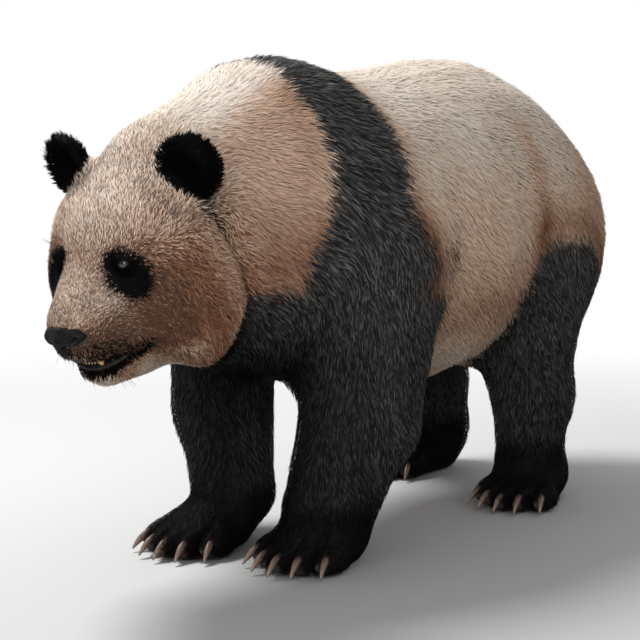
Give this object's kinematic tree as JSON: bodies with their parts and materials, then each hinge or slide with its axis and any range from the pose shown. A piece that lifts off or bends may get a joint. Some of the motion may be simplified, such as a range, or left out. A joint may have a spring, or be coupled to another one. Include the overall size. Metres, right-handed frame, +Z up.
{
  "type": "giant panda",
  "caption": "Still, life-size giant panda, standing on all fours with its head lowered and mouth a little open: rounded body, stout legs, broad clawed paws, short tail.",
  "frame": {"origin": "under the middle of the bounding box, on the floor that the soles stand on", "axes": "+X towards the animal's left side, +Y towards its tail (the nose points along -Y), +Z up"},
  "size_m": [0.5328, 1.4126, 0.8212],
  "materials": {
    "white_fur": "cream to brown fur, matte",
    "black_fur": "black fur, matte",
    "nose_leather": "bare skin of the nose, dark, a little moist",
    "claw_horn": "brown horn, satin",
    "eye": "dark brown eye with a wet gloss"
  },
  "bodies": {
    "root": {"trunk": "white_fur", "neck": "white_fur", "tail": "white_fur", "head": "white_fur", "lower_jaw": "white_fur", "nose": "nose_leather", "ear_left": "black_fur", "eye_left": "eye", "ear_right": "black_fur", "eye_right": "eye", "foreleg_left": "black_fur", "forepaw_left": "black_fur", "claw_fore_left_1": "claw_horn", "claw_fore_left_2": "claw_horn", "claw_fore_left_3": "claw_horn", "claw_fore_left_4": "claw_horn", "claw_fore_left_5": "claw_horn", "foreleg_right": "black_fur", "forepaw_right": "black_fur", "claw_fore_right_1": "claw_horn", "claw_fore_right_2": "claw_horn", "claw_fore_right_3": "claw_horn", "claw_fore_right_4": "claw_horn", "claw_fore_right_5": "claw_horn", "hindleg_left": "black_fur", "hindpaw_left": "black_fur", "claw_hind_left_1": "claw_horn", "claw_hind_left_2": "claw_horn", "claw_hind_left_3": "claw_horn", "claw_hind_left_4": "claw_horn", "claw_hind_left_5": "claw_horn", "hindleg_right": "black_fur", "hindpaw_right": "black_fur", "claw_hind_right_1": "claw_horn", "claw_hind_right_2": "claw_horn", "claw_hind_right_3": "claw_horn", "claw_hind_right_4": "claw_horn", "claw_hind_right_5": "claw_horn"}
  },
  "joints": []
}
